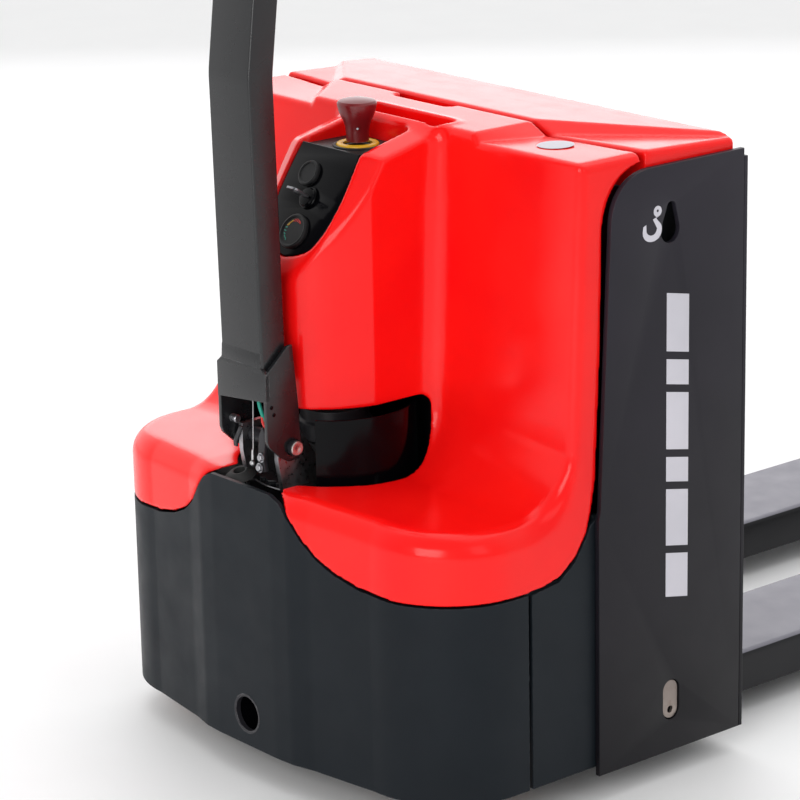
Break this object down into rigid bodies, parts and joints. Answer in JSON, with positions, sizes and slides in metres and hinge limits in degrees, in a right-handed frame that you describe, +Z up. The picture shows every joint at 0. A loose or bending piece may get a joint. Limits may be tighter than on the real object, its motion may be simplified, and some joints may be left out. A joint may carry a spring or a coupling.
{
  "type": "electric pallet truck",
  "caption": "Electric walkie pallet truck: drive unit under moulded covers, steering tiller with loop handle, battery box between side plates, and two lifting forks on load wheels.",
  "frame": {"origin": "on the floor, at the middle of the overall footprint", "axes": "+Y along the forks towards their tips, +X to the right seen from the tiller, +Z up"},
  "size_m": [0.72, 1.7026, 1.2876],
  "materials": {
    "red_cover": "smooth gloss moulding",
    "black_plate": "satin powder coat",
    "dark_plate": "satin powder coat",
    "black_plastic": "fine grain",
    "gloss_black": "gloss",
    "steel": "zinc plated",
    "cast_iron": "cast, painted grey",
    "alloy": "machined",
    "rubber": "matte",
    "polyurethane": "smooth tread",
    "yellow_plastic": "gloss",
    "grey_plastic": "fine grain"
  },
  "bodies": {
    "chassis": {"front_cover": "red_cover", "front_apron": "black_plate", "chassis_frame": "dark_plate", "dash_panel": "gloss_black", "battery_gauge": "gloss_black", "hour_meter": "gloss_black", "key_switch": "steel", "stop_base": "yellow_plastic", "lift_barrel": "dark_plate", "motor_controller": "dark_plate", "hydraulic_tank": "black_plastic", "pump_motor": "dark_plate", "contactor": "grey_plastic", "horn": "black_plastic"},
    "ignition_key": {"ignition_key": "steel"},
    "stop_knob": {"stop_knob": "red_cover"},
    "drive_unit": {"turntable": "steel", "drum_guard": "gloss_black", "pivot_pin": "alloy", "drive_gearbox": "cast_iron", "traction_motor": "cast_iron", "motor_brake": "dark_plate"},
    "drive_wheel": {"drive_wheel_hub": "alloy", "drive_wheel_tyre": "rubber"},
    "tiller": {"tiller_bracket": "black_plate", "tiller_tube": "black_plate", "head_core": "black_plastic", "grip_left": "rubber", "grip_right": "rubber"},
    "throttle": {"throttle": "grey_plastic"},
    "lift_button": {"lift_button": "grey_plastic"},
    "lower_button": {"lower_button": "grey_plastic"},
    "horn_button": {"horn_button": "grey_plastic"},
    "belly_button": {"belly_button": "red_cover"},
    "lifting_frame": {"lift_frame": "black_plate", "battery": "grey_plastic", "battery_plug": "grey_plastic", "lift_ram": "alloy", "side_plate_left": "black_plate", "lock_plate_left": "steel", "fork_left": "dark_plate", "side_plate_right": "black_plate", "lock_plate_right": "steel", "fork_right": "dark_plate"},
    "battery_lid": {"battery_lid": "red_cover"},
    "torsion_shaft": {"torsion_shaft": "steel"},
    "caster_left": {"caster_fork_left": "steel"},
    "caster_wheel_left": {"caster_wheel_left": "polyurethane"},
    "push_rod_left": {"push_rod_left": "steel"},
    "load_arm_left": {"load_arm_left": "steel"},
    "load_wheel_left": {"load_wheel_left": "polyurethane"},
    "caster_right": {"caster_fork_right": "steel"},
    "caster_wheel_right": {"caster_wheel_right": "polyurethane"},
    "push_rod_right": {"push_rod_right": "steel"},
    "load_arm_right": {"load_arm_right": "steel"},
    "load_wheel_right": {"load_wheel_right": "polyurethane"}
  },
  "joints": [
    {"name": "key_turn", "type": "hinge", "parent": "chassis", "child": "ignition_key", "pos_m": [0, -0.70541, 0.74234], "axis": [0, -0.8434, 0.5373], "range_deg": [0, 90]},
    {"name": "stop_press", "type": "slide", "parent": "chassis", "child": "stop_knob", "axis": [0, 0, -1], "range_m": [0, 0.005], "stiffness_N_per_m": 800, "springref_m": -0.004},
    {"name": "steer", "type": "hinge", "parent": "chassis", "child": "drive_unit", "pos_m": [0, -0.67366, 0.3], "axis": [0, 0, 1], "range_deg": [-90, 90]},
    {"name": "drive_spin", "type": "hinge", "parent": "drive_unit", "child": "drive_wheel", "pos_m": [0, -0.67366, 0.115], "axis": [1, 0, 0], "continuous": true},
    {"name": "tiller_tilt", "type": "hinge", "parent": "drive_unit", "child": "tiller", "pos_m": [0, -0.77866, 0.445], "axis": [1, 0, 0], "range_deg": [0, 75], "stiffness_Nm_per_rad": 45, "springref_deg": -34.38},
    {"name": "throttle_turn", "type": "hinge", "parent": "tiller", "child": "throttle", "pos_m": [0, -0.81927, 1.2196], "axis": [1, 0, 0], "range_deg": [-30, 30], "stiffness_Nm_per_rad": 0.4},
    {"name": "lift_press", "type": "slide", "parent": "tiller", "child": "lift_button", "axis": [0, 0.9659, 0.2588], "range_m": [0, 0.003], "stiffness_N_per_m": 300, "springref_m": -0.002},
    {"name": "lower_press", "type": "slide", "parent": "tiller", "child": "lower_button", "axis": [0, 0.9659, 0.2588], "range_m": [0, 0.003], "stiffness_N_per_m": 300, "springref_m": -0.002},
    {"name": "horn_press", "type": "slide", "parent": "tiller", "child": "horn_button", "axis": [0, 0.9659, 0.2588], "range_m": [0, 0.003], "stiffness_N_per_m": 300, "springref_m": -0.002},
    {"name": "belly_press", "type": "slide", "parent": "tiller", "child": "belly_button", "axis": [0, 0.2588, -0.9659], "range_m": [0, 0.006], "stiffness_N_per_m": 400, "springref_m": -0.003},
    {"name": "lift", "type": "slide", "parent": "chassis", "child": "lifting_frame", "axis": [0, 0, 1], "range_m": [0, 0.12]},
    {"name": "lid_open", "type": "hinge", "parent": "lifting_frame", "child": "battery_lid", "pos_m": [0, -0.31866, 0.806], "axis": [-1, 0, 0], "range_deg": [0, 75]},
    {"name": "torsion_turn", "type": "hinge", "parent": "lifting_frame", "child": "torsion_shaft", "pos_m": [0, -0.42666, 0.095], "axis": [1, 0, 0], "range_deg": [0, 36.37]},
    {"name": "caster_swivel_left", "type": "hinge", "parent": "chassis", "child": "caster_left", "pos_m": [-0.245, -0.69866, 0.175], "axis": [0, 0, 1], "continuous": true},
    {"name": "caster_spin_left", "type": "hinge", "parent": "caster_left", "child": "caster_wheel_left", "pos_m": [-0.245, -0.67366, 0.0575], "axis": [1, 0, 0], "continuous": true},
    {"name": "push_left", "type": "slide", "parent": "lifting_frame", "child": "push_rod_left", "axis": [0, 1, 0], "range_m": [0, 0.01495]},
    {"name": "load_arm_turn_left", "type": "hinge", "parent": "lifting_frame", "child": "load_arm_left", "pos_m": [-0.185, 0.56134, 0.05], "axis": [-1, 0, 0], "range_deg": [0, 47.59]},
    {"name": "load_spin_left", "type": "hinge", "parent": "load_arm_left", "child": "load_wheel_left", "pos_m": [-0.185, 0.73084, 0.037], "axis": [1, 0, 0], "continuous": true},
    {"name": "caster_swivel_right", "type": "hinge", "parent": "chassis", "child": "caster_right", "pos_m": [0.245, -0.69866, 0.175], "axis": [0, 0, 1], "continuous": true},
    {"name": "caster_spin_right", "type": "hinge", "parent": "caster_right", "child": "caster_wheel_right", "pos_m": [0.245, -0.67366, 0.0575], "axis": [1, 0, 0], "continuous": true},
    {"name": "push_right", "type": "slide", "parent": "lifting_frame", "child": "push_rod_right", "axis": [0, 1, 0], "range_m": [0, 0.01495]},
    {"name": "load_arm_turn_right", "type": "hinge", "parent": "lifting_frame", "child": "load_arm_right", "pos_m": [0.185, 0.56134, 0.05], "axis": [-1, 0, 0], "range_deg": [0, 47.59]},
    {"name": "load_spin_right", "type": "hinge", "parent": "load_arm_right", "child": "load_wheel_right", "pos_m": [0.185, 0.73084, 0.037], "axis": [1, 0, 0], "continuous": true}
  ],
  "couplings": [
    {"joint": "torsion_turn", "follows": "lift", "rad_per_m": 5.2171},
    {"joint": "push_left", "follows": "lift", "ratio": 0.12207},
    {"joint": "load_arm_turn_left", "follows": "lift", "rad_per_m": 6.8491},
    {"joint": "push_right", "follows": "lift", "ratio": 0.12207},
    {"joint": "load_arm_turn_right", "follows": "lift", "rad_per_m": 6.8491}
  ]
}
